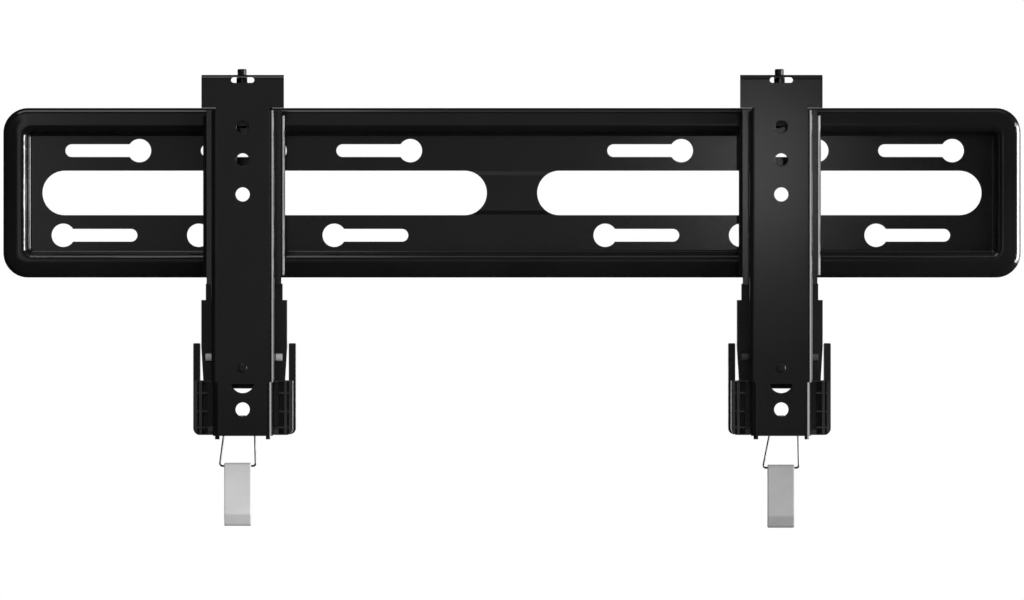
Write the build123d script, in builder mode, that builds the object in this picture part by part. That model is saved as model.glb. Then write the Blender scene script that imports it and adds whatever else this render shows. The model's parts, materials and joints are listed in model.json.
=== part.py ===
import os
from math import atan2, cos

from build123d import *

# Fixed TV wall bracket: a pressed wall plate that carries two hook-on brackets.
# Millimetres. X runs along the wall plate, +Y goes into the wall and +Z is up.
# The origin is the middle of the plate's back face, on the wall.

inch = 25.4

# Clearances
running_gap = 0.3  # between pieces that slide past each other
slide_gap = 0.5  # around the moulded latch
pin_gap = 0.06  # round a pin, screw or wire that turns in its hole
press_gap = 0.02  # round a fastener that is fixed in its hole
matched = 0.001  # how closely an edge's place is matched

# Wall plate
plate_width = 30 * inch
plate_height = 5 * inch
plate_corner = 18.5
plate_sheet = 2.0
rim_depth = 13.0  # wall to the front of the rim
rim_width = 17.2  # seen from the front, outer edge to the inner wall
rim_slope = 2.0  # how far the inner wall leans in on its way to the floor
rim_standoff = 5.0  # wall to the back edge of the rim
rim_lean = 1.4  # the rim's face falls back towards its outer edge
rim_lean_width = 11.2
rim_round = 5.0
ridge_round = 25.0
mouth_corner = 5.0
floor_corner = 2.6
crest_round = 5.0
floor_round = 2.0

# Holes in the wall plate
slot_pitch = 4 * inch
slot_run = 2 * inch
slot_width = 0.375 * inch
slot_eye = 17.5
slot_row = 1.25 * inch
upper_eye_x = -11 * inch
lower_eye_x = -13.25 * inch
slot_columns = (0, 1, 2, 4, 5, 6)  # the middle column would fall on the bridge
opening_length = 333.3
opening_height = 33.3
opening_bridge = 37.7
band_length = 68.0  # raised band on the bridge, cut short by the openings
band_height = 32.6
band_stand = 1.5
band_slope = 3.0

# Brackets
bracket_spacing = 400.0
bend_radius = 3.6
level_travel = 3.0  # how far the arm rises or falls from rest

# Carriage: the channel that hooks on the plate
carriage_width = 61.4
carriage_end_width = 55.8  # its web where the side walls are cut away
carriage_sheet = 2.0
carriage_front = 22.0  # wall to the front of its web
carriage_below_top = 1.7
carriage_past_bottom = 5.2
flange_below_top = 4.6  # its side walls stop short of the web's ends
flange_above_bottom = 7.1
hook_width = 40.0
hook_drop = 6.5
hook_standoff = 1.5
hook_clear = 0.5
window_width = 37.2
window_top = 38.0
window_bottom = -48.0
ear_reach = 13.0  # how far the folded ears stand forward of the web
nut_width = 14.0
nut_height = 11.0
nut_below_top = 1.8

# Arm: the channel that the TV bolts to
arm_front = 40.0  # wall to its front face
arm_sheet = 2.0
arm_web = 46.8
arm_drop = 117.8  # below the plate's lower edge
foot_web = 45.0
foot_height = 39.9
foot_bend = 5.0
ear_relief = 1.8  # cut under the head's ears, so that they stay flat
toe_inner = 17.2
toe_width = 3.4
toe_length = 2.5
head_width = 61.3
head_height = 24.6
head_rise = 23.5  # above the plate's upper edge
shelf_depth = 16.0
view_width = 17.2
view_height = 4.0

# Holes in the arm, measured up from its lower edge or from the bolt holes
punch_round = 0.5  # softened front edge of the round holes
bolt_hole = 10.5
bolt_low = 19.7
bolt_spacing = 159.7
upper_hole = 9.4
upper_hole_rise = 25.9
top_hole = 9.0
top_hole_rise = 50.1
moon_radius = 8.7
moon_low = 31.9
moon_high = 38.6

# Levelling screw
screw_diameter = 5.0
screw_forward = 8.0  # axis ahead of the carriage's web
screw_head = 6.8
screw_head_height = 4.5
screw_socket = 3.0
screw_socket_depth = 2.2
screw_past_nut = 1.0
screw_shift = -1.0  # the screw stands a little to the left of the arm's middle
collar_flats = 8.0
collar_height = 5.0
collar_gap = 0.1

# Headed pins that hold the arm to the carriage
pin_diameter = 4.0
pin_head = 7.2
pin_head_height = 2.1
pin_forward = 7.0
pin_below_window_top = 18.0
pin_above_window_bottom = 16.0

# Moulded latch guide round the foot of the arm
guide_width = 76.6
guide_back = 8.0  # wall to its back face
guide_front = 34.0
guide_wall = 5.2
guide_floor = 2.0
guide_height = 40.4
guide_above_arm = 0.6
guide_corner = 4.5
finger_height = 27.7
finger_front = 15.0
finger_round = 0.8
guide_step = 1.5  # the ribbed front is this much narrower on each side
guide_window = 24.0
guide_window_low = 14.0
guide_mouth = 36.0  # gap in the floor for the tail and the wire
guide_arm_gap = 0.2
pocket_depth = 6.0
pocket_rib = 1.2
pocket_ribs = (9.2, 22.9, 34.8)  # level ribs, down from the top
pocket_columns = ((28.5, 4.2), (33.4, 1.4))  # centre and width
lip_inner_rib = 3.7
lip_depth = 3.0  # the rib beside the arm is set back above a sloping lip
lip_rise = 3.3
guide_screw = 2.8
guide_screw_head = 5.2
guide_screw_head_height = 2.2
guide_screw_length = 8.0
guide_screw_forward = 3.5
guide_screw_rise = 9.0

# Latch
latch_width = 64.0
latch_neck_width = 57.3
latch_foot_width = 60.4
latch_below_plate = 4.6
latch_neck_height = 12.2
latch_taper_rise = 66.0  # start of the taper above the arm's lower edge
latch_low = 34.9
catch_width = 47.6
catch_reach = 4.5
catch_sheet = 3.2
catch_standoff = 1.2
catch_shelf = 4.0
leg_inner = 9.5
leg_outer = 16.0
tail_bar_top = 13.3
tail_bar_low = 10.3
lug_width = 8.0
lug_low = 1.3
ledge_inner = 23.8
ledge_width = 4.9
ledge_height = 6.6
ledge_stand = 2.8
ledge_low = 55.0
latch_travel = 8.0

# Domed stud in the arm that runs in a slot of the latch
stud_rise = 50.5
stud_diameter = 4.0
stud_head = 7.0
stud_head_height = 1.3

# Return springs under the latch
spring_offset = 25.0
spring_diameter = 6.0
spring_wire = 0.9
spring_turns = 5

# Wire bail and pull tab
wire_diameter = 1.5
bail_bend = 2.0
bail_eye_rise = 5.3
bail_half_width = 13.4
bail_right_lean = 0.55  # how far each side of the bail leans in towards its top
bail_left_lean = (3.7, 5.9)  # the two bails are bent by hand and hang a little differently
bail_drop = (28.3, 29.7)
bail_shift = (-5.0, 0.9)
tab_width = 20.0
tab_length = 44.8  # below the wire
tab_thickness = 4.8
tab_lip = 9.5
tab_lip_thickness = 2.6
tab_round = 0.9

# Worked-out places
plate_top = plate_height / 2
plate_bottom = -plate_height / 2
carriage_top = plate_top - carriage_below_top
carriage_bottom = plate_bottom - carriage_past_bottom
carriage_back = rim_depth + running_gap
ear_outer = window_width / 2 + carriage_sheet
arm_back = carriage_front + running_gap
arm_bottom = plate_bottom - arm_drop
foot_top = arm_bottom + foot_height
head_top = plate_top + head_rise
head_bottom = head_top - head_height
shelf_under = head_top - arm_sheet
bolt_low_z = arm_bottom + bolt_low
bolt_high_z = bolt_low_z + bolt_spacing
screw_y = -(carriage_front + screw_forward)
nut_top = carriage_top - nut_below_top
nut_bottom = nut_top - nut_height
nut_depth = arm_front - arm_sheet - running_gap - carriage_front
flange_top = carriage_top - flange_below_top
flange_bottom = carriage_bottom + flange_above_bottom
pin_y = -(carriage_front + pin_forward)
pin_heights = (window_top - pin_below_window_top, window_bottom + pin_above_window_bottom)
guide_bottom = arm_bottom + guide_above_arm
guide_top = guide_bottom + guide_height
guide_inner = guide_width / 2 - guide_wall
guide_arm_half = foot_web / 2 + guide_arm_gap
guide_screw_y = -(arm_back + guide_screw_forward)
guide_screw_z = arm_bottom + guide_screw_rise
latch_front = carriage_front - carriage_sheet - slide_gap
latch_back = rim_depth
latch_middle = (latch_front + latch_back) / 2
latch_top = plate_bottom - latch_below_plate
latch_bottom = arm_bottom + latch_low
stud_z = arm_bottom + stud_rise
bail_top_z = arm_bottom + bail_eye_rise
wire_radius = wire_diameter / 2


def plan(x, z):
    return Plane(origin=(x, 0, z))


def facing(x, depth):
    # front view, at a distance from the wall; a positive extrude comes towards the viewer
    return Plane(origin=(x, -depth, 0), x_dir=(1, 0, 0), z_dir=(0, -1, 0))


def side_on(x):
    # view along the plate: sketch x is Y, sketch y is Z
    return Plane(origin=(x, 0, 0), x_dir=(0, 1, 0), z_dir=(1, 0, 0))


def lying_at(shapes, axis, place):
    return shapes.filter_by_position(axis, place - matched, place + matched)


def both_sides(points):
    # closes a half outline with its mirror image
    return points + [(-across, up) for across, up in reversed(points)]


def channel_outline(width, front, back, sheet, bend):
    # folded channel in plan, open towards the wall
    half = width / 2
    outer = [(half, -back), (half, -front)]
    inner = [(half - sheet, sheet - front), (half - sheet, -back)]
    ring = [(-half, -back), (-half, -front)] + outer[::-1] + inner[::-1]
    ring += [(sheet - half, sheet - front), (sheet - half, -back)]
    with BuildSketch() as outline:
        with BuildLine():
            Polyline(*ring, close=True)
        make_face()
        rows = outline.vertices().group_by(Axis.Y)
        fillet(rows[0], bend)
        fillet(rows[1], bend - sheet)
    return outline.sketch


def rim_mouth(grow):
    width = plate_width - 2 * rim_width + 2 * grow
    height = plate_height - 2 * rim_width + 2 * grow
    return width, height, mouth_corner + grow


def panel_floor(lean, grow):
    width = plate_width - 2 * (rim_width + lean) + 2 * grow
    height = plate_height - 2 * (rim_width + lean) + 2 * grow
    return width, height, floor_corner + grow


def make_wall_plate():
    wall_angle = atan2(rim_slope, rim_depth - plate_sheet)
    wall_grow = plate_sheet / cos(wall_angle)
    back_lean = rim_slope * rim_depth / (rim_depth - plate_sheet)

    # the space behind the rim, which the hooks and the latches reach into
    with BuildPart() as rim_hollow:
        with BuildSketch(facing(0, 0)):
            RectangleRounded(
                plate_width - 2 * plate_sheet, plate_height - 2 * plate_sheet, plate_corner - plate_sheet
            )
        extrude(amount=rim_depth - plate_sheet)
        front = rim_hollow.faces().sort_by(Axis.Y)[0]
        hollow_lean = rim_lean * (1 - plate_sheet / rim_lean_width)
        chamfer(front.edges(), rim_lean_width - plate_sheet, hollow_lean, reference=front)
        inner_y = hollow_lean + plate_sheet - rim_depth
        fillet(lying_at(rim_hollow.edges(), Axis.Y, inner_y), rim_round - plate_sheet)
        with BuildSketch(facing(0, rim_depth)):
            RectangleRounded(*rim_mouth(wall_grow))
        with BuildSketch(facing(0, 0)):
            RectangleRounded(*panel_floor(back_lean, wall_grow))
        loft(mode=Mode.SUBTRACT)

    with BuildPart() as wall_plate:
        with BuildSketch(facing(0, rim_standoff)):
            RectangleRounded(plate_width, plate_height, plate_corner)
        extrude(amount=rim_depth - rim_standoff)
        front = wall_plate.faces().sort_by(Axis.Y)[0]
        chamfer(front.edges(), rim_lean_width, rim_lean, reference=front)
        outer_y = rim_lean - rim_depth
        fillet(lying_at(wall_plate.edges(), Axis.Y, outer_y), rim_round)
        fillet(lying_at(wall_plate.edges(), Axis.Y, -rim_depth), ridge_round)
        with BuildSketch(facing(0, 0)):
            RectangleRounded(*rim_mouth(wall_grow))
        extrude(amount=rim_standoff)
        with BuildSketch(facing(0, rim_depth)):
            RectangleRounded(*rim_mouth(0))
        with BuildSketch(facing(0, plate_sheet)):
            RectangleRounded(*panel_floor(rim_slope, 0))
        loft(mode=Mode.SUBTRACT)
        front = wall_plate.faces().sort_by(Axis.Y)[0]
        fillet(front.inner_wires()[0].edges(), crest_round)
        floor = lying_at(wall_plate.faces(), Axis.Y, -plate_sheet)[0]
        fillet(floor.outer_wire().edges(), floor_round)
        add(rim_hollow.part, mode=Mode.SUBTRACT)
        with BuildSketch(facing(0, plate_sheet)):
            Rectangle(band_length, band_height)
        with BuildSketch(facing(0, plate_sheet + band_stand)):
            Rectangle(band_length - 2 * band_slope, band_height - 2 * band_slope)
        loft()

        # keyhole slots: eyes to the right in the upper row, to the left in the lower one
        with BuildSketch(facing(0, 0)):
            for column in slot_columns:
                for eye_x, row, side in ((upper_eye_x, slot_row, -1), (lower_eye_x, -slot_row, 1)):
                    across = eye_x + column * slot_pitch
                    with Locations((across, row)):
                        Circle(slot_eye / 2)
                    with Locations((across + side * slot_run / 2, row)):
                        SlotCenterToCenter(slot_run, slot_width)
            opening_x = (opening_bridge + opening_length) / 2
            with Locations((-opening_x, 0), (opening_x, 0)):
                SlotOverall(opening_length, opening_height)
        extrude(amount=plate_sheet + band_stand, mode=Mode.SUBTRACT)
    return wall_plate.part


def make_carriage(x):
    hook_top = plate_top + hook_clear + carriage_sheet
    hook_tip = plate_top - hook_drop
    outline = channel_outline(carriage_width, carriage_front, carriage_back, carriage_sheet, bend_radius)
    web_back = carriage_front - carriage_sheet
    hook_leg = hook_standoff + carriage_sheet
    with BuildPart() as carriage:
        with BuildSketch(plan(x, flange_bottom)):
            add(outline)
        extrude(amount=flange_top - flange_bottom)
        with BuildSketch(facing(x, web_back)):
            with Locations((0, carriage_bottom)):
                web_height = carriage_top - carriage_bottom
                Rectangle(carriage_end_width, web_height, align=(Align.CENTER, Align.MIN))
        extrude(amount=carriage_sheet)

        # hook folded back over the rim and down behind it
        with BuildSketch(side_on(x)) as hook:
            with BuildLine():
                Polyline(
                    (-carriage_front, nut_bottom),
                    (-carriage_front, hook_top),
                    (-hook_standoff, hook_top),
                    (-hook_standoff, hook_tip),
                    (-hook_leg, hook_tip),
                    (-hook_leg, hook_top - carriage_sheet),
                    (-web_back, hook_top - carriage_sheet),
                    (-web_back, nut_bottom),
                    close=True,
                )
            make_face()
            levels = hook.vertices().group_by(Axis.Y)
            fillet(levels[-1], bend_radius)
            fillet(levels[-2], bend_radius - carriage_sheet)
        extrude(amount=hook_width / 2, both=True)

        # window for the TV's bolts, with its two flaps folded forward as ears
        window_height = window_top - window_bottom
        window_middle = (window_top + window_bottom) / 2
        with BuildSketch(facing(x, web_back)):
            with Locations((0, window_middle)):
                Rectangle(window_width, window_height)
        extrude(amount=carriage_sheet, mode=Mode.SUBTRACT)
        ear_middle = window_width / 2 + carriage_sheet / 2
        with BuildSketch(facing(x, web_back)):
            with Locations((-ear_middle, window_middle), (ear_middle, window_middle)):
                Rectangle(carriage_sheet, window_height)
        extrude(amount=carriage_sheet + ear_reach)
        with BuildSketch(side_on(x)):
            with Locations(*[(pin_y, height) for height in pin_heights]):
                SlotCenterToCenter(2 * level_travel + running_gap, pin_diameter + 2 * pin_gap, 90)
        extrude(amount=ear_outer, both=True, mode=Mode.SUBTRACT)
    return carriage.part


def make_lift_nut(x):
    with BuildPart() as lift_nut:
        with BuildSketch(plan(x, nut_bottom)):
            with Locations((0, -carriage_front - nut_depth / 2)):
                RectangleRounded(nut_width, nut_depth, 1.0)
            with Locations((screw_shift, screw_y)):
                Circle(screw_diameter / 2 + pin_gap, mode=Mode.SUBTRACT)
        extrude(amount=nut_height)
    return lift_nut.part


def make_arm(x):
    upper = channel_outline(arm_web, arm_front, arm_back, arm_sheet, bend_radius)
    foot = channel_outline(foot_web, arm_front, arm_back, arm_sheet, foot_bend)
    web_back = arm_front - arm_sheet
    with BuildPart() as arm:
        with BuildSketch(plan(x, foot_top)):
            add(upper)
        extrude(amount=head_bottom - foot_top)
        with BuildSketch(plan(x, arm_bottom)):
            add(foot)
        extrude(amount=foot_height)

        # toes: the foot's bends run a little past its lower edge
        with BuildSketch(plan(x, arm_bottom)):
            add(foot)
            toe_x = toe_inner + toe_width / 2
            with Locations((-toe_x, -arm_front), (toe_x, -arm_front)):
                Rectangle(toe_width, 2 * foot_bend, mode=Mode.INTERSECT)
        extrude(amount=-toe_length)

        # head: a wide front folded back into a shelf
        with BuildSketch(side_on(x)) as head:
            with BuildLine():
                Polyline(
                    (-arm_front, head_bottom),
                    (-arm_front, head_top),
                    (shelf_depth - arm_front, head_top),
                    (shelf_depth - arm_front, shelf_under),
                    (-web_back, shelf_under),
                    (-web_back, head_bottom),
                    close=True,
                )
            make_face()
            corners = head.vertices().group_by(Axis.X)
            fillet(corners[0].sort_by(Axis.Y)[-1], bend_radius)
            fillet(corners[1].sort_by(Axis.Y)[-1], bend_radius - arm_sheet)
        extrude(amount=head_width / 2, both=True)
        relief_x = arm_web / 2 - bend_radius / 2
        with BuildSketch(facing(x, arm_back)):
            with Locations((-relief_x, head_bottom), (relief_x, head_bottom)):
                Rectangle(bend_radius, ear_relief, align=(Align.CENTER, Align.MAX))
        extrude(amount=arm_front - arm_back, mode=Mode.SUBTRACT)

        with BuildSketch(facing(x, web_back)):
            with Locations((0, bolt_low_z), (0, bolt_high_z)):
                Circle(bolt_hole / 2)
            with Locations((0, bolt_high_z + upper_hole_rise)):
                Circle(upper_hole / 2)
            with Locations((0, bolt_high_z + top_hole_rise)):
                Circle(top_hole / 2)
            with Locations((0, stud_z)):
                Circle(stud_diameter / 2 + press_gap)
            with Locations((0, shelf_under - view_height / 2)):
                SlotOverall(view_width, view_height)
        extrude(amount=arm_sheet, mode=Mode.SUBTRACT)
        with BuildSketch(facing(x, web_back)):
            with Locations((0, arm_bottom + moon_low + moon_radius)):
                Circle(moon_radius)
            with Locations((0, arm_bottom + moon_high)):
                Rectangle(2 * moon_radius, 2 * moon_radius, align=(Align.CENTER, Align.MIN), mode=Mode.SUBTRACT)
        extrude(amount=arm_sheet, mode=Mode.SUBTRACT)
        front = arm.faces().filter_by(Axis.Y).sort_by(Axis.Y)[0]
        round_holes = [wire.edges()[0] for wire in front.inner_wires() if len(wire.edges()) == 1]
        fillet(round_holes, punch_round)

        with BuildSketch(plan(x, shelf_under)):
            with Locations((screw_shift, screw_y)):
                Circle(screw_diameter / 2 + pin_gap)
        extrude(amount=arm_sheet, mode=Mode.SUBTRACT)
        with BuildSketch(side_on(x)):
            with Locations(*[(pin_y, height) for height in pin_heights]):
                Circle(pin_diameter / 2 + press_gap)
        extrude(amount=arm_web / 2, both=True, mode=Mode.SUBTRACT)
        with BuildSketch(side_on(x)):
            with Locations((guide_screw_y, guide_screw_z)):
                Circle(guide_screw / 2 + press_gap)
        extrude(amount=foot_web / 2, both=True, mode=Mode.SUBTRACT)
    return arm.part


def make_level_screw(x):
    head_base = head_top + collar_gap
    tip = nut_bottom - screw_past_nut
    with BuildPart() as level_screw:
        with BuildSketch(plan(x, tip)):
            with Locations((screw_shift, screw_y)):
                Circle(screw_diameter / 2)
        extrude(amount=head_base - tip)
        chamfer(level_screw.edges().sort_by(Axis.Z)[0], screw_diameter / 8)
        with BuildSketch(plan(x, head_base)):
            with Locations((screw_shift, screw_y)):
                Circle(screw_head / 2)
        extrude(amount=screw_head_height)
        fillet(level_screw.edges().sort_by(Axis.Z)[-1], screw_head / 8)
        with BuildSketch(plan(x, head_base + screw_head_height)):
            with Locations((screw_shift, screw_y)):
                RegularPolygon(screw_socket / 2, 6, major_radius=False)
        extrude(amount=-screw_socket_depth, mode=Mode.SUBTRACT)
    return level_screw.part


def make_collar_nut(x):
    with BuildPart() as collar_nut:
        with BuildSketch(plan(x, shelf_under - collar_gap - collar_height)):
            with Locations((screw_shift, screw_y)):
                RegularPolygon(collar_flats / 2, 6, major_radius=False, rotation=30)
                Circle(screw_diameter / 2 + press_gap, mode=Mode.SUBTRACT)
        extrude(amount=collar_height)
    return collar_nut.part


def make_guide_pins(x):
    head_outer = window_width / 2 - running_gap
    with BuildPart() as guide_pins:
        for side in (-1, 1):
            with BuildSketch(side_on(x + side * (head_outer - pin_head_height))):
                with Locations(*[(pin_y, height) for height in pin_heights]):
                    Circle(pin_head / 2)
            extrude(amount=side * pin_head_height)
            with BuildSketch(side_on(x + side * head_outer)):
                with Locations(*[(pin_y, height) for height in pin_heights]):
                    Circle(pin_diameter / 2)
            extrude(amount=side * (arm_web / 2 - head_outer))
    return guide_pins.part


def make_latch_guide(x):
    half = guide_width / 2
    sleeve_back = latch_back - slide_gap
    sleeve_front = latch_front + slide_gap
    finger_top = guide_top + finger_height
    finger_middle = half - guide_wall / 2
    inside_bottom = guide_bottom + guide_floor
    sleeve_depth = sleeve_front - sleeve_back
    with BuildPart() as latch_guide:
        with BuildSketch(facing(x, guide_back)) as body:
            with Locations((0, guide_bottom)):
                Rectangle(guide_width, guide_height, align=(Align.CENTER, Align.MIN))
            fillet(body.vertices().group_by(Axis.Y)[0], guide_corner)
        extrude(amount=finger_front - guide_back)
        with BuildSketch(facing(x, finger_front)) as front:
            with Locations((0, guide_bottom)):
                Rectangle(guide_width - 2 * guide_step, guide_height, align=(Align.CENTER, Align.MIN))
            fillet(front.vertices().group_by(Axis.Y)[0], guide_corner)
        extrude(amount=guide_front - finger_front)
        with BuildSketch(facing(x, guide_back)) as fingers:
            with Locations((-finger_middle, guide_top), (finger_middle, guide_top)):
                Rectangle(guide_wall, finger_height, align=(Align.CENTER, Align.MIN))
            fillet(fingers.vertices().group_by(Axis.Y)[-1], finger_round)
        extrude(amount=finger_front - guide_back)

        # sleeve for the latch, room for the arm's foot and the way out for tail and wire
        with BuildSketch(facing(x, sleeve_back)):
            with Locations((0, inside_bottom)):
                Rectangle(2 * guide_inner, guide_height, align=(Align.CENTER, Align.MIN))
            with Locations((0, guide_bottom)):
                Rectangle(guide_mouth, guide_height, align=(Align.CENTER, Align.MIN))
        extrude(amount=sleeve_depth, mode=Mode.SUBTRACT)
        with BuildSketch(facing(x, sleeve_front)):
            with Locations((0, guide_bottom)):
                Rectangle(2 * guide_arm_half, guide_height, align=(Align.CENTER, Align.MIN))
            with Locations((0, foot_top - running_gap)):
                Rectangle(arm_web + 2 * guide_arm_gap, guide_height, align=(Align.CENTER, Align.MIN))
        extrude(amount=guide_front - sleeve_front, mode=Mode.SUBTRACT)
        with BuildSketch(facing(x, guide_back)):
            with Locations((0, guide_bottom + guide_window_low)):
                Rectangle(guide_window, guide_height, align=(Align.CENTER, Align.MIN))
        extrude(amount=sleeve_back - guide_back, mode=Mode.SUBTRACT)

        # ribbed front: pockets between upright and level ribs
        rib_heights = [guide_top] + [guide_top - fall for fall in pocket_ribs] + [guide_bottom]
        with BuildSketch(facing(x, guide_front)):
            for upper, lower in zip(rib_heights, rib_heights[1:]):
                for middle, width in pocket_columns:
                    with Locations((-middle, (upper + lower) / 2), (middle, (upper + lower) / 2)):
                        Rectangle(width, upper - lower - pocket_rib)
        extrude(amount=-pocket_depth, mode=Mode.SUBTRACT)
        lip_bottom = guide_bottom + lip_rise
        for side in (-1, 1):
            with BuildSketch(side_on(x + side * (guide_arm_half + lip_inner_rib / 2))):
                with BuildLine():
                    Polyline(
                        (-guide_front, lip_bottom),
                        (lip_depth - guide_front, lip_bottom + lip_depth),
                        (lip_depth - guide_front, guide_top - pocket_rib),
                        (-guide_front, guide_top - pocket_rib),
                        close=True,
                    )
                make_face()
            extrude(amount=lip_inner_rib / 2, both=True, mode=Mode.SUBTRACT)

        with BuildSketch(side_on(x)):
            with Locations((guide_screw_y, guide_screw_z)):
                Circle(guide_screw / 2 + press_gap)
        screw_end = foot_web / 2 - arm_sheet + guide_screw_length + running_gap
        extrude(amount=screw_end, both=True, mode=Mode.SUBTRACT)
    return latch_guide.part


def make_guide_screws(x):
    seat = foot_web / 2 - arm_sheet
    with BuildPart() as guide_screws:
        for side in (-1, 1):
            with BuildSketch(side_on(x + side * (seat - guide_screw_head_height))):
                with Locations((guide_screw_y, guide_screw_z)):
                    Circle(guide_screw_head / 2)
            extrude(amount=side * guide_screw_head_height)
            with BuildSketch(side_on(x + side * seat)):
                with Locations((guide_screw_y, guide_screw_z)):
                    Circle(guide_screw / 2)
            extrude(amount=side * guide_screw_length)
    return guide_screws.part


def make_latch(x):
    thickness = latch_front - latch_back
    neck_bottom = latch_top - latch_neck_height
    tail_top = arm_bottom + tail_bar_top
    tail_low = arm_bottom + tail_bar_low
    body = [
        (latch_neck_width / 2, latch_top),
        (latch_neck_width / 2, neck_bottom),
        (latch_width / 2, neck_bottom),
        (latch_width / 2, arm_bottom + latch_taper_rise),
        (latch_foot_width / 2, latch_bottom),
    ]
    shelf_low = latch_top - catch_shelf
    catch_tip = plate_bottom + catch_reach
    catch_front = catch_standoff + catch_sheet
    ledge_bottom = arm_bottom + ledge_low
    ledge_middle = ledge_inner + ledge_width / 2
    with BuildPart() as latch:
        with BuildSketch(facing(x, latch_back)):
            with BuildLine():
                Polyline(*both_sides(body), close=True)
            make_face()
            for side in (-1, 1):
                with Locations((side * (leg_inner + leg_outer) / 2, tail_low)):
                    Rectangle(leg_outer - leg_inner, latch_bottom - tail_low, align=(Align.CENTER, Align.MIN))
            with Locations((0, tail_low)):
                Rectangle(2 * leg_outer, tail_top - tail_low, align=(Align.CENTER, Align.MIN))
            with Locations((0, arm_bottom + lug_low)):
                Rectangle(lug_width, tail_low - arm_bottom - lug_low, align=(Align.CENTER, Align.MIN))
        extrude(amount=thickness)

        # catch: a shelf under the rim with a tongue that stands up behind it
        with BuildSketch(side_on(x)):
            with BuildLine():
                Polyline(
                    (-latch_back, latch_top),
                    (-catch_front, latch_top),
                    (-catch_front, catch_tip - catch_sheet / 2),
                    (-catch_front + catch_sheet / 2, catch_tip),
                    (-catch_standoff, catch_tip),
                    (-catch_standoff, shelf_low),
                    (-latch_back, shelf_low),
                    close=True,
                )
            make_face()
        extrude(amount=catch_width / 2, both=True)

        # rounded ledges that stand forward beside the arm
        for side in (-1, 1):
            with BuildSketch(side_on(x + side * ledge_middle)):
                with BuildLine():
                    ThreePointArc(
                        (-latch_front, ledge_bottom),
                        (-latch_front - ledge_stand, ledge_bottom + ledge_height / 2),
                        (-latch_front, ledge_bottom + ledge_height),
                    )
                    Line((-latch_front, ledge_bottom + ledge_height), (-latch_front, ledge_bottom))
                make_face()
            extrude(amount=ledge_width / 2, both=True)

        with BuildSketch(side_on(x)):
            with Locations((-latch_middle, bail_top_z)):
                Circle(wire_radius + pin_gap)
        extrude(amount=lug_width / 2, both=True, mode=Mode.SUBTRACT)
        with BuildSketch(facing(x, latch_back)):
            with Locations((0, stud_z + latch_travel / 2)):
                SlotCenterToCenter(latch_travel + running_gap, stud_diameter + 2 * running_gap, 90)
        extrude(amount=thickness, mode=Mode.SUBTRACT)
    return latch.part


def make_guide_stud(x):
    with BuildPart() as guide_stud:
        with BuildSketch(facing(x, arm_front)):
            with Locations((0, stud_z)):
                Circle(stud_head / 2)
        extrude(amount=stud_head_height)
        fillet(guide_stud.edges().sort_by(Axis.Y)[0], stud_head_height * 0.9)
        with BuildSketch(facing(x, latch_back + running_gap)):
            with Locations((0, stud_z)):
                Circle(stud_diameter / 2)
        extrude(amount=arm_front - latch_back - running_gap)
    return guide_stud.part


def make_return_springs(x):
    seat = guide_bottom + guide_floor + spring_wire / 2 + press_gap
    height = latch_bottom - spring_wire / 2 - press_gap - seat
    with BuildPart() as return_springs:
        for side in (-1, 1):
            axis_x = x + side * spring_offset
            with BuildLine() as coil:
                Helix(height / spring_turns, height, spring_diameter / 2, center=(axis_x, -latch_middle, seat))
            with BuildSketch(Plane(origin=coil.line @ 0, z_dir=coil.line % 0)):
                Circle(spring_wire / 2)
            sweep(path=coil.line, is_frenet=True)
    return return_springs.part


def make_bail(x, left_lean, drop, shift):
    bottom_z = bail_top_z - drop
    corners = [
        (left_lean - bail_half_width, bail_top_z),
        (bail_half_width - bail_right_lean, bail_top_z),
        (bail_half_width, bottom_z),
        (-bail_half_width, bottom_z),
    ]
    route = [(x + shift + across, -latch_middle, up) for across, up in corners]
    with BuildPart() as bail:
        with BuildLine() as loop:
            FilletPolyline(*route, radius=bail_bend, close=True)
        start = loop.line @ 0
        with BuildSketch(Plane(origin=start, z_dir=loop.line % 0)):
            Circle(wire_radius)
        sweep(path=loop.line)
    return bail.part


def make_pull_tab(x, drop, shift):
    wire_z = bail_top_z - drop
    low = wire_z - tab_length
    half = tab_thickness / 2
    centre = -latch_middle
    with BuildPart() as pull_tab:
        with BuildSketch(side_on(x + shift)):
            with BuildLine():
                Polyline(
                    (centre + half, wire_z),
                    (centre + half, low),
                    (centre + half - tab_lip_thickness, low),
                    (centre - half, low + tab_lip),
                    (centre - half, wire_z),
                )
                ThreePointArc((centre - half, wire_z), (centre, wire_z + half), (centre + half, wire_z))
            make_face()
        extrude(amount=tab_width / 2, both=True)
        seams = lying_at(pull_tab.edges().filter_by(Axis.X), Axis.Z, wire_z)
        fillet(pull_tab.edges() - seams, tab_round)
        with BuildSketch(side_on(x + shift)):
            with Locations((centre, wire_z)):
                Circle(wire_radius + pin_gap)
        extrude(amount=tab_width / 2, both=True, mode=Mode.SUBTRACT)
    return pull_tab.part


def export_node(part, name):
    part.label = name
    export_step(part, f"parts/{name}.step")


os.makedirs("parts", exist_ok=True)
export_node(make_wall_plate(), "wall_plate")
bracket_pieces = {
    "carriage": make_carriage,
    "lift_nut": make_lift_nut,
    "arm": make_arm,
    "level_screw": make_level_screw,
    "collar_nut": make_collar_nut,
    "guide_pins": make_guide_pins,
    "latch_guide": make_latch_guide,
    "guide_screws": make_guide_screws,
    "latch": make_latch,
    "guide_stud": make_guide_stud,
    "return_springs": make_return_springs,
}
for number, side_name in enumerate(("left", "right")):
    middle_x = (number - 0.5) * bracket_spacing
    for piece, make_piece in bracket_pieces.items():
        export_node(make_piece(middle_x), f"{piece}_{side_name}")
    drop, shift = bail_drop[number], bail_shift[number]
    export_node(make_bail(middle_x, bail_left_lean[number], drop, shift), f"bail_{side_name}")
    export_node(make_pull_tab(middle_x, drop, shift), f"pull_tab_{side_name}")
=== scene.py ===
import json
import math

import bmesh
import bpy
from mathutils import Matrix, Vector

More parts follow.
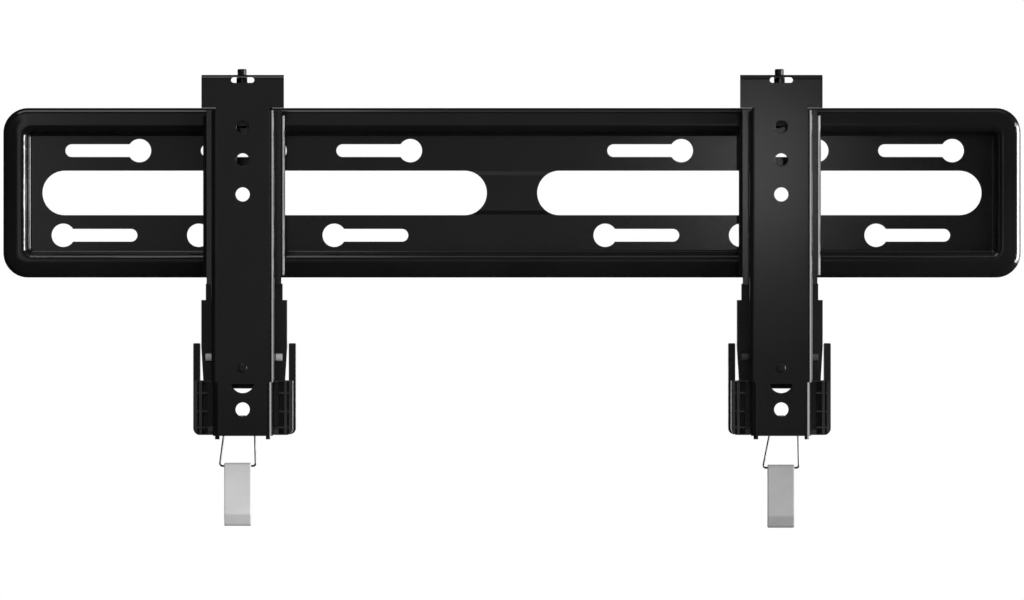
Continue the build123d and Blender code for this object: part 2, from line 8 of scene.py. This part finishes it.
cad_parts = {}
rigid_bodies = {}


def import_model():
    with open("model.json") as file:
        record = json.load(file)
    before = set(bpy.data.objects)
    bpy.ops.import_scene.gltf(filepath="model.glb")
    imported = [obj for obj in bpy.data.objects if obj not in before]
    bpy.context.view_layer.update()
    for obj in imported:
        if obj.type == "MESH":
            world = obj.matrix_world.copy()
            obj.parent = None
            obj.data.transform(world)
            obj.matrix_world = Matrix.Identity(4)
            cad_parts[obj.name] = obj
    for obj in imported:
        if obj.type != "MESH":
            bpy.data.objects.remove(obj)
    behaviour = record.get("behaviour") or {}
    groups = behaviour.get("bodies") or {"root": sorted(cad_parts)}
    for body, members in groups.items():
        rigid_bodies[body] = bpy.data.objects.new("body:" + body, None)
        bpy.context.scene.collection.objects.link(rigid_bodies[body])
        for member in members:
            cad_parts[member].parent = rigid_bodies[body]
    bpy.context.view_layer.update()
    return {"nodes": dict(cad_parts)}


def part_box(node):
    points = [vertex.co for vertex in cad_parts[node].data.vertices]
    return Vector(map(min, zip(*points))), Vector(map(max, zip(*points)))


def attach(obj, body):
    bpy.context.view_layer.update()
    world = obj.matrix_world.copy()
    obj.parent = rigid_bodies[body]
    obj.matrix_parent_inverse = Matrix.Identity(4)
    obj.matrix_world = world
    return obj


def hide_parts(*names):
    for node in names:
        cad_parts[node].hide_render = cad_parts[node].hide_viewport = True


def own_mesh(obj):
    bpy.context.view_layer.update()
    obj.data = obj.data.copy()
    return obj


for leftover in list(bpy.data.objects):
    bpy.data.objects.remove(leftover)
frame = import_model()
nodes = frame["nodes"]
sides = ("left", "right")
print("frame: wall plate and two brackets loaded,", len(nodes), "nodes")


# node helpers

def addNode(tree, kind, place, **values):
    node = tree.nodes.new(kind)
    node.location = place
    for key, value in values.items():
        setattr(node, key, value)
    return node


def wire(tree, source, target):
    tree.links.new(source, target)


def newGroup(name, inputs, outputs):
    group = bpy.data.node_groups.new(name, "ShaderNodeTree")
    for label, kind in inputs:
        group.interface.new_socket(name=label, in_out="INPUT", socket_type=kind)
    for label, kind in outputs:
        group.interface.new_socket(name=label, in_out="OUTPUT", socket_type=kind)
    entry = addNode(group, "NodeGroupInput", (-900, 0))
    leave = addNode(group, "NodeGroupOutput", (700, 0))
    return group, entry, leave


# fine pebbled skin of coated, moulded and plated surfaces
skinNoise = {"pebbleDetail": 2.0, "pebbleSpan": (0.3, 0.7), "cloudDetail": 3.0, "cloudSpan": (0.35, 0.65)}


def makeSkinGroup():
    group, entry, leave = newGroup(
        "pebbledSkin",
        [
            ("Position", "NodeSocketVector"),
            ("Pebble Scale", "NodeSocketFloat"),
            ("Cloud Scale", "NodeSocketFloat"),
            ("Dark", "NodeSocketColor"),
            ("Light", "NodeSocketColor"),
            ("Rough Low", "NodeSocketFloat"),
            ("Rough High", "NodeSocketFloat"),
        ],
        [("Color", "NodeSocketColor"), ("Roughness", "NodeSocketFloat"), ("Height", "NodeSocketFloat")],
    )
    pebble = addNode(group, "ShaderNodeTexNoise", (-600, 200))
    pebble.inputs["Detail"].default_value = skinNoise["pebbleDetail"]
    cloud = addNode(group, "ShaderNodeTexNoise", (-600, -150))
    cloud.inputs["Detail"].default_value = skinNoise["cloudDetail"]
    wire(group, entry.outputs["Position"], pebble.inputs["Vector"])
    wire(group, entry.outputs["Position"], cloud.inputs["Vector"])
    wire(group, entry.outputs["Pebble Scale"], pebble.inputs["Scale"])
    wire(group, entry.outputs["Cloud Scale"], cloud.inputs["Scale"])
    tint = addNode(group, "ShaderNodeMix", (-100, -150), data_type="RGBA")
    spread = addNode(group, "ShaderNodeMapRange", (-350, -150), clamp=True)
    spread.inputs["From Min"].default_value, spread.inputs["From Max"].default_value = skinNoise["cloudSpan"]
    wire(group, cloud.outputs["Fac"], spread.inputs["Value"])
    wire(group, spread.outputs["Result"], tint.inputs["Factor"])
    wire(group, entry.outputs["Dark"], tint.inputs["A"])
    wire(group, entry.outputs["Light"], tint.inputs["B"])
    rough = addNode(group, "ShaderNodeMapRange", (-100, 150), clamp=True)
    rough.inputs["From Min"].default_value, rough.inputs["From Max"].default_value = skinNoise["pebbleSpan"]
    wire(group, pebble.outputs["Fac"], rough.inputs["Value"])
    wire(group, entry.outputs["Rough Low"], rough.inputs["To Min"])
    wire(group, entry.outputs["Rough High"], rough.inputs["To Max"])
    wire(group, tint.outputs["Result"], leave.inputs["Color"])
    wire(group, rough.outputs["Result"], leave.inputs["Roughness"])
    wire(group, pebble.outputs["Fac"], leave.inputs["Height"])
    return group


skinGroup = makeSkinGroup()


# a zone of a piece, along one direction, whose colour is multiplied by a tone of its own; here it paints light and
# shade: lighter rib fronts, ledge highlights and a shaded tab lip
def makeZoneGroup():
    group, entry, leave = newGroup(
        "toneZone",
        [
            ("Position", "NodeSocketVector"),
            ("Along", "NodeSocketVector"),
            ("Start", "NodeSocketFloat"),
            ("End", "NodeSocketFloat"),
            ("Color", "NodeSocketColor"),
            ("Tone", "NodeSocketColor"),
        ],
        [("Color", "NodeSocketColor")],
    )
    reach = addNode(group, "ShaderNodeVectorMath", (-600, 100), operation="DOT_PRODUCT")
    wire(group, entry.outputs["Position"], reach.inputs[0])
    wire(group, entry.outputs["Along"], reach.inputs[1])
    ramp = addNode(group, "ShaderNodeMapRange", (-300, 100), interpolation_type="SMOOTHSTEP")
    wire(group, reach.outputs["Value"], ramp.inputs["Value"])
    wire(group, entry.outputs["Start"], ramp.inputs["From Min"])
    wire(group, entry.outputs["End"], ramp.inputs["From Max"])
    blend = addNode(group, "ShaderNodeMix", (100, 0), data_type="RGBA", blend_type="MULTIPLY")
    wire(group, ramp.outputs["Result"], blend.inputs["Factor"])
    wire(group, entry.outputs["Color"], blend.inputs["A"])
    wire(group, entry.outputs["Tone"], blend.inputs["B"])
    wire(group, blend.outputs["Result"], leave.inputs["Color"])
    return group


zoneGroup = makeZoneGroup()


def newMaterial(name):
    material = bpy.data.materials.new(name)
    material.use_nodes = True
    tree = material.node_tree
    shader = tree.nodes["Principled BSDF"]
    return material, tree, shader


def skinMaterial(name, look):
    material, tree, shader = newMaterial(name)
    place = addNode(tree, "ShaderNodeTexCoord", (-900, 0))
    skin = addNode(tree, "ShaderNodeGroup", (-600, 0), node_tree=skinGroup)
    wire(tree, place.outputs["Object"], skin.inputs["Position"])
    skin.inputs["Pebble Scale"].default_value = look["pebbleScale"]
    skin.inputs["Cloud Scale"].default_value = look["cloudScale"]
    skin.inputs["Dark"].default_value = (*look["dark"], 1.0)
    skin.inputs["Light"].default_value = (*look["light"], 1.0)
    skin.inputs["Rough Low"].default_value = look["roughLow"]
    skin.inputs["Rough High"].default_value = look["roughHigh"]
    bump = addNode(tree, "ShaderNodeBump", (-300, -250))
    bump.inputs["Strength"].default_value = look["bumpStrength"]
    bump.inputs["Distance"].default_value = look["bumpDepth"]
    colour = skin.outputs["Color"]
    for zone in look.get("zones", ()):
        toned = addNode(tree, "ShaderNodeGroup", (-300, 150), node_tree=zoneGroup)
        wire(tree, place.outputs["Object"], toned.inputs["Position"])
        wire(tree, colour, toned.inputs["Color"])
        toned.inputs["Along"].default_value = zone["along"]
        toned.inputs["Start"].default_value = zone["start"]
        toned.inputs["End"].default_value = zone["end"]
        toned.inputs["Tone"].default_value = (zone["tone"], zone["tone"], zone["tone"], 1.0)
        colour = toned.outputs["Color"]
    wire(tree, colour, shader.inputs["Base Color"])
    wire(tree, skin.outputs["Roughness"], shader.inputs["Roughness"])
    wire(tree, skin.outputs["Height"], bump.inputs["Height"])
    wire(tree, bump.outputs["Normal"], shader.inputs["Normal"])
    shader.inputs["Specular IOR Level"].default_value = look["specular"]
    shader.inputs["Metallic"].default_value = look.get("metallic", 0.0)
    return material


powderCoat = {
    "dark": (0.0052, 0.0052, 0.0054), "light": (0.0068, 0.0068, 0.0070),
    "roughLow": 0.12, "roughHigh": 0.17, "specular": 0.5,
    "pebbleScale": 1400.0, "cloudScale": 14.0, "bumpStrength": 0.1, "bumpDepth": 0.00003,
}
mouldedBlack = {
    "dark": (0.0060, 0.0060, 0.0062), "light": (0.0085, 0.0085, 0.0088),
    "roughLow": 0.28, "roughHigh": 0.38, "specular": 0.5,
    "pebbleScale": 1800.0, "cloudScale": 25.0, "bumpStrength": 0.2, "bumpDepth": 0.00004,
}


# painted light: the guide's rib fronts are painted lighter than the shaded ground between them, and the latch
# ledges carry a painted highlight, strong on the left latch and faint on the right;
# each tone starts at a depth behind the foremost face and is full at a share of that depth
litRibFace = {"depth": 0.0008, "full": 0.6, "tone": 2.6}
latchLedgeHighlight = {"depth": 0.0021, "full": 0.1, "tone": {"left": 66.0, "right": 8.0}}


def forwardZone(node, face, tone):
    front = -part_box(node)[0][1]
    start, end = front - face["depth"], front - face["full"] * face["depth"]
    return {"along": (0.0, -1.0, 0.0), "start": start, "end": end, "tone": tone}


ribbedGuide = dict(mouldedBlack, zones=[forwardZone("latch_guide_left", litRibFace, litRibFace["tone"])])
zincPlate = {
    "dark": (0.42, 0.42, 0.43), "light": (0.55, 0.55, 0.56),
    "roughLow": 0.25, "roughHigh": 0.38, "specular": 0.5, "metallic": 1.0,
    "pebbleScale": 2500.0, "cloudScale": 120.0, "bumpStrength": 0.1, "bumpDepth": 0.00003,
}
drawnWire = dict(zincPlate, dark=(0.30, 0.30, 0.305), light=(0.40, 0.40, 0.405))
blackOxide = dict(powderCoat, roughLow=0.25, roughHigh=0.35)
# painted light: the two pull tabs are the same moulding; the left tab's colour is painted lighter than the right
# tab's grey, standing in for more light falling on its face
litTab = {
    "dark": (0.545, 0.545, 0.545), "light": (0.585, 0.585, 0.585),
    "roughLow": 0.42, "roughHigh": 0.52, "specular": 0.4,
    "pebbleScale": 1500.0, "cloudScale": 60.0, "bumpStrength": 0.15, "bumpDepth": 0.00004,
}
greyTab = dict(litTab, dark=(0.306, 0.306, 0.311), light=(0.333, 0.333, 0.338))
# painted shade: the lowest part of each tab, the lip, is darkened, and its bottom edge darker still, standing in
# for the shade on the down-turned lip
tabLipShade = {"height": 0.0095, "full": 0.8, "tone": 0.8, "edge": 0.0022, "edgeShadeTone": 0.55}


def lipShadeZones(node):
    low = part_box(node)[0][2]
    lip, edge = tabLipShade["height"], tabLipShade["edge"]
    down = {"along": (0.0, 0.0, -1.0)}
    return [
        dict(down, start=-low - lip, end=-low - tabLipShade["full"] * lip, tone=tabLipShade["tone"]),
        dict(down, start=-low - edge, end=-low, tone=tabLipShade["edgeShadeTone"]),
    ]


finishes = {
    "wall_plate": skinMaterial("platePowderCoat", powderCoat),
    "arm": skinMaterial("armPowderCoat", powderCoat),
    "carriage": skinMaterial("carriagePowderCoat", powderCoat),
    "lift_nut": skinMaterial("liftNutOxide", blackOxide),
    "guide_pins": skinMaterial("guidePinOxide", blackOxide),
    "level_screw": skinMaterial("levelScrewOxide", blackOxide),
    "collar_nut": skinMaterial("collarNutOxide", blackOxide),
    "guide_screws": skinMaterial("guideScrewZinc", zincPlate),
    "guide_stud": skinMaterial("guideStudOxide", blackOxide),
    "return_springs": skinMaterial("springZinc", zincPlate),
    "latch_guide": skinMaterial("guideMoulding", ribbedGuide),
    "bail": skinMaterial("bailWire", drawnWire),
}
# each latch moulding carries the painted ledge highlight, strong on the left and faint on the right
latchFinishes = {
    side: skinMaterial(
        f"{side}LatchMoulding", dict(mouldedBlack, zones=[forwardZone(f"latch_{side}", latchLedgeHighlight, tone)]))
    for side, tone in latchLedgeHighlight["tone"].items()
}
# the left tab gets the painted lighter colour, the right tab the grey
tabFinishes = {
    "left": skinMaterial("litTabMoulding", dict(litTab, zones=lipShadeZones("pull_tab_left"))),
    "right": skinMaterial("greyTabMoulding", dict(greyTab, zones=lipShadeZones("pull_tab_right"))),
}


def dress(node, material):
    nodes[node].data.materials.clear()
    nodes[node].data.materials.append(material)


dress("wall_plate", finishes["wall_plate"])
for side in sides:
    for piece, material in finishes.items():
        if piece != "wall_plate":
            dress(f"{piece}_{side}", material)
    dress(f"latch_{side}", latchFinishes[side])
    dress(f"pull_tab_{side}", tabFinishes[side])
print("finishes: coat, moulding, zinc, wire and tab materials placed")


# turned and coiled pieces
meshSpec = {"mergeDistance": 1e-7, "creaseAngle": math.radians(40)}


def ringAt(shape, radius, segments, place, upright=False):
    turn = Matrix.Rotation(math.radians(90), 4, "X") if upright else Matrix()
    ring = bmesh.ops.create_circle(
        shape, cap_ends=False, radius=radius, segments=segments, matrix=Matrix.Translation(place) @ turn)
    return ring["verts"], list({edge for vert in ring["verts"] for edge in vert.link_edges})


def chain(shape, points, closed):
    verts = [shape.verts.new(point) for point in points]
    links = list(zip(verts, verts[1:] + verts[:1] if closed else verts[1:]))
    return verts, [shape.edges.new(link) for link in links]


def coilUp(shape, loop, centre, runs, perTurn):
    geom = loop
    for turns, rise in runs:
        steps = max(2, round(turns * perTurn))
        wound = bmesh.ops.spin(
            shape, geom=geom, cent=centre, axis=(0.0, 0.0, 1.0), dvec=(0.0, 0.0, rise / steps),
            angle=2 * math.pi * turns, steps=steps, use_merge=False, use_duplicate=False)
        geom = wound["geom_last"]


def capEnds(shape):
    bmesh.ops.holes_fill(shape, edges=[edge for edge in shape.edges if edge.is_boundary], sides=0)


def finishPiece(shape, name, material, body, node):
    bmesh.ops.remove_doubles(shape, verts=shape.verts, dist=meshSpec["mergeDistance"])
    bmesh.ops.recalc_face_normals(shape, faces=shape.faces)
    mesh = bpy.data.meshes.new(name)
    shape.to_mesh(mesh)
    shape.free()
    mesh.shade_smooth()
    mesh.set_sharp_from_angle(angle=meshSpec["creaseAngle"])
    mesh.materials.append(material)
    piece = bpy.data.objects.new(name, mesh)
    bpy.context.scene.collection.objects.link(piece)
    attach(piece, body)
    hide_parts(node)
    return piece


# return springs with closed end coils; the latch presses them together as it comes down, but these coils keep one
# length
springSpec = {"wire": 0.0009, "turns": 5, "wireSides": 10, "perTurn": 24, "endRise": 0.00095}


def makeReturnSprings(side):
    node = f"return_springs_{side}"
    low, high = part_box(node)
    wireRadius = springSpec["wire"] / 2
    radius = (high[1] - low[1]) / 2 - wireRadius
    middle = (low[1] + high[1]) / 2
    endRise = springSpec["endRise"]
    openRise = high[2] - low[2] - springSpec["wire"] - 2 * endRise
    runs = [(1, endRise), (springSpec["turns"] - 1, openRise), (1, endRise)]
    shape = bmesh.new()
    for axisX in (low[0] + wireRadius + radius, high[0] - wireRadius - radius):
        start = (axisX + radius, middle, low[2] + wireRadius)
        verts, edges = ringAt(shape, wireRadius, springSpec["wireSides"], start, upright=True)
        coilUp(shape, verts + edges, (axisX, middle, 0.0), runs, springSpec["perTurn"])
    capEnds(shape)
    piece = finishPiece(
        shape, f"springCoils_{side}", finishes["return_springs"], f"{side}_arm", node)
    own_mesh(piece)


# level screws with a socket head and a rolled thread, whose margin, foot and crest are shares of the pitch
screwSpec = {
    "headHeight": 0.0045, "headRound": 0.00085, "roundSteps": 4, "socketFlats": 0.003, "socketDepth": 0.0022,
    "shank": 0.0025, "core": 0.00205, "tipBevel": 0.0006, "segments": 36,
    "pitch": 0.0008, "threadMargin": 0.4, "ridgeFoot": 0.38, "ridgeCrest": 0.07, "ridgeSunk": 0.0001,
}


def makeLevelScrew(side):
    node = f"level_screw_{side}"
    low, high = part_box(node)
    x, y = (low[0] + high[0]) / 2, (low[1] + high[1]) / 2
    top, tip = high[2], low[2]
    headRadius = (high[0] - low[0]) / 2
    headBase = top - screwSpec["headHeight"]
    core, shank, pitch, bevel = (screwSpec[key] for key in ("core", "shank", "pitch", "tipBevel"))
    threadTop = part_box(f"collar_nut_{side}")[0][2]
    edgeRound = screwSpec["headRound"]
    outline = []
    for step in range(screwSpec["roundSteps"] + 1):
        angle = math.radians(90 * step / screwSpec["roundSteps"])
        outline.append((
            headRadius - edgeRound + edgeRound * math.sin(angle),
            top - edgeRound + edgeRound * math.cos(angle),
        ))
    outline += [
        (headRadius, headBase), (shank, headBase), (shank, threadTop),
        (core, threadTop - shank + core), (core, tip + bevel), (core - bevel, tip),
    ]
    shape = bmesh.new()
    verts, edges = chain(shape, [(x + radius, y, height) for radius, height in outline], closed=False)
    bmesh.ops.spin(
        shape, geom=verts + edges, cent=(x, y, 0.0), axis=(0.0, 0.0, 1.0), angle=2 * math.pi,
        steps=screwSpec["segments"], use_merge=True, use_duplicate=False)
    bmesh.ops.remove_doubles(shape, verts=shape.verts, dist=meshSpec["mergeDistance"])
    rim = [edge for edge in shape.edges if edge.is_boundary and edge.verts[0].co.z > headBase]
    socketCorner = screwSpec["socketFlats"] / math.sqrt(3)
    socketEdges = ringAt(shape, socketCorner, 6, (x, y, top))[1]
    bmesh.ops.bridge_loops(shape, edges=rim + socketEdges)
    sunk = bmesh.ops.extrude_edge_only(shape, edges=socketEdges)["geom"]
    sunkVerts = [item for item in sunk if isinstance(item, bmesh.types.BMVert)]
    bmesh.ops.translate(shape, vec=(0.0, 0.0, -screwSpec["socketDepth"]), verts=sunkVerts)
    capEnds(shape)
    margin = screwSpec["threadMargin"] * pitch
    first = tip + bevel + margin
    last = threadTop - shank + core - margin
    inner = core - screwSpec["ridgeSunk"]
    foot, crest = screwSpec["ridgeFoot"], screwSpec["ridgeCrest"]
    ridge = [(inner, -foot), (shank, -crest), (shank, crest), (inner, foot)]
    verts, edges = chain(shape, [(x + radius, y, first + share * pitch) for radius, share in ridge], closed=True)
    coilUp(shape, verts + edges, (x, y, 0.0), [((last - first) / pitch, last - first)], screwSpec["segments"])
    capEnds(shape)
    finishPiece(shape, f"threadedScrew_{side}", finishes["level_screw"], f"{side}_screw", node)


for side in sides:
    makeReturnSprings(side)
    makeLevelScrew(side)
print("pieces: springs coiled and level screws threaded")

# camera straight on, level with a point a little below the plate
camera = {"distance": 3.8, "height": -0.0803, "lens": 178.01, "sensor": 36.0, "clipEnd": 50.0}


def placeCamera():
    data = bpy.data.cameras.new("frontCamera")
    data.lens = camera["lens"]
    data.sensor_width = camera["sensor"]
    data.clip_end = camera["clipEnd"]
    viewer = bpy.data.objects.new("frontCamera", data)
    viewer.location = (0.0, -camera["distance"], camera["height"])
    viewer.rotation_euler = (math.radians(90), 0.0, 0.0)
    bpy.context.scene.collection.objects.link(viewer)
    bpy.context.scene.camera = viewer


placeCamera()

# softboxes: the right box draws the bright lines along right-hand bends, the top boxes those along the pan's
# bottom, the glows the sheen of flat faces, and the lamp beside the camera the soft patch on the right arm;
# the back box shows the back, the key lights everything without a reflection of its own, and a lamp with
# "only" shows in the reflections of one piece alone
softboxes = {
    "keyBox": {
        "place": (1.2, -2.6, 1.6), "aim": (0.0, 0.0, -0.08), "size": (1.2, 1.2), "power": 33.0, "mirrored": False},
    "rightBox": {"place": (1.89, -0.65, 0.05), "aim": (0.0, 0.0, 0.0), "size": (1.38, 1.3), "power": 47.0},
    "rightBack": {"place": (1.75, 0.95, 0.0), "aim": (0.0, 0.0, 0.0), "size": (1.0, 1.2), "power": 11.3},
    "topLeft": {"place": (-0.7, -0.78, 1.6), "aim": (-0.7, -0.78, 0.0), "size": (1.1, 1.05), "power": 7.3},
    "topRight": {"place": (0.5, -0.78, 1.6), "aim": (0.5, -0.78, 0.0), "size": (1.3, 1.05), "power": 1.9},
    "backBox": {"place": (0.0, 2.6, 0.0), "aim": (0.0, 0.0, 0.0), "size": (2.4, 0.9), "power": 7.0},
    "besideCamera": {"place": (0.326, -3.0, 0.094), "aim": (0.18, 0.0, 0.02), "size": (0.08, 0.18), "power": 0.22},
    "plateEdge": {
        "place": (2.1, -0.4, 0.0), "aim": (-0.365, 0.0, 0.0), "size": (1.1, 1.3), "power": 150.0,
        "only": "wall_plate"},
    "leftStrip": {
        "place": (-0.6, -3.9, 0.08), "aim": (-0.6, 0.0, 0.08), "size": (0.1, 0.5), "power": 0.5,
        "only": "carriage_left"},
    "rightStrip": {
        "place": (0.2, -3.9, 0.08), "aim": (0.2, 0.0, 0.08), "size": (0.1, 0.5), "power": 0.5,
        "only": "carriage_right"},
    "frontGlow": {"place": (-0.375, -3.95, 0.71), "aim": (-0.375, 0.0, 0.71), "size": (1.65, 1.98), "power": 2.05},
    "leftGlow": {"place": (-1.0, -3.9, 0.71), "aim": (-1.0, 0.0, 0.71), "size": (0.56, 1.98), "power": 1.75},
}


def placeSoftboxes():
    for name, box in softboxes.items():
        data = bpy.data.lights.new(name, "AREA")
        data.shape = "RECTANGLE"
        data.size, data.size_y = box["size"]
        data.energy = box["power"]
        lamp = bpy.data.objects.new(name, data)
        place = Vector(box["place"])
        lamp.location = place
        lamp.rotation_euler = (Vector(box["aim"]) - place).to_track_quat("-Z", "Y").to_euler()
        lamp.visible_camera = False
        lamp.visible_glossy = box.get("mirrored", True)
        if "only" in box:  # a reflection for one piece, with no light on the rest
            receivers = bpy.data.collections.new(f"{name}Receivers")
            receivers.objects.link(nodes[box["only"]])
            lamp.light_linking.receiver_collection = receivers
            lamp.visible_diffuse = False
        bpy.context.scene.collection.objects.link(lamp)


placeSoftboxes()

# white all round for the camera, with the studio's own levels for light on the object
studio = {"fillBelow": 0.05, "fillAbove": 0.55, "dimReflection": 0.0, "backdropCone": 0.96, "coneBlur": 0.02}


def makeStudioWorld():
    world = bpy.data.worlds.new("studioWorld")
    world.use_nodes = True
    tree = world.node_tree
    back = tree.nodes["Background"]
    rays = addNode(tree, "ShaderNodeLightPath", (-900, 300))
    place = addNode(tree, "ShaderNodeTexCoord", (-900, -200))
    split = addNode(tree, "ShaderNodeSeparateXYZ", (-700, -200))
    wire(tree, place.outputs["Generated"], split.inputs["Vector"])
    cone = addNode(tree, "ShaderNodeMapRange", (-500, -200), clamp=True)
    cone.inputs["From Min"].default_value = studio["backdropCone"] - studio["coneBlur"]
    cone.inputs["From Max"].default_value = studio["backdropCone"] + studio["coneBlur"]
    cone.inputs["To Min"].default_value = studio["dimReflection"]
    cone.inputs["To Max"].default_value = 1.0
    wire(tree, split.outputs["Y"], cone.inputs["Value"])
    glossy = addNode(tree, "ShaderNodeMix", (-250, 0), data_type="FLOAT")
    fill = addNode(tree, "ShaderNodeMapRange", (-500, -500))
    fill.inputs["From Min"].default_value = -1.0
    fill.inputs["To Min"].default_value = studio["fillBelow"]
    fill.inputs["To Max"].default_value = studio["fillAbove"]
    wire(tree, split.outputs["Z"], fill.inputs["Value"])
    wire(tree, fill.outputs["Result"], glossy.inputs["A"])
    wire(tree, rays.outputs["Is Glossy Ray"], glossy.inputs["Factor"])
    wire(tree, cone.outputs["Result"], glossy.inputs["B"])
    seen = addNode(tree, "ShaderNodeMath", (-500, 300), operation="MAXIMUM")
    wire(tree, rays.outputs["Is Camera Ray"], seen.inputs[0])
    wire(tree, rays.outputs["Is Transmission Ray"], seen.inputs[1])
    strength = addNode(tree, "ShaderNodeMix", (-50, 200), data_type="FLOAT")
    wire(tree, seen.outputs["Value"], strength.inputs["Factor"])
    wire(tree, glossy.outputs["Result"], strength.inputs["A"])
    strength.inputs["B"].default_value = 1.0
    back.inputs["Color"].default_value = (1.0, 1.0, 1.0, 1.0)
    wire(tree, strength.outputs["Result"], back.inputs["Strength"])
    bpy.context.scene.world = world


makeStudioWorld()

floorSpec = {"level": -0.75, "half": 1.4, "colour": (0.8, 0.8, 0.8), "roughness": 0.8}


def makeFloor():
    shape = bmesh.new()
    bmesh.ops.create_grid(shape, x_segments=1, y_segments=1, size=floorSpec["half"])
    bmesh.ops.translate(shape, vec=(0.0, 0.0, floorSpec["level"]), verts=shape.verts)
    mesh = bpy.data.meshes.new("studioFloor")
    shape.to_mesh(mesh)
    shape.free()
    floor = bpy.data.objects.new("studioFloor", mesh)
    bpy.context.scene.collection.objects.link(floor)
    material, _, shader = newMaterial("paleFloor")
    shader.inputs["Base Color"].default_value = (*floorSpec["colour"], 1.0)
    shader.inputs["Roughness"].default_value = floorSpec["roughness"]
    mesh.materials.append(material)
    floor.visible_glossy = False  # dark below, as the underside of the top rim shows


makeFloor()
bpy.context.scene.view_settings.view_transform = "Standard"
print("studio: camera, softboxes, world and floor placed")
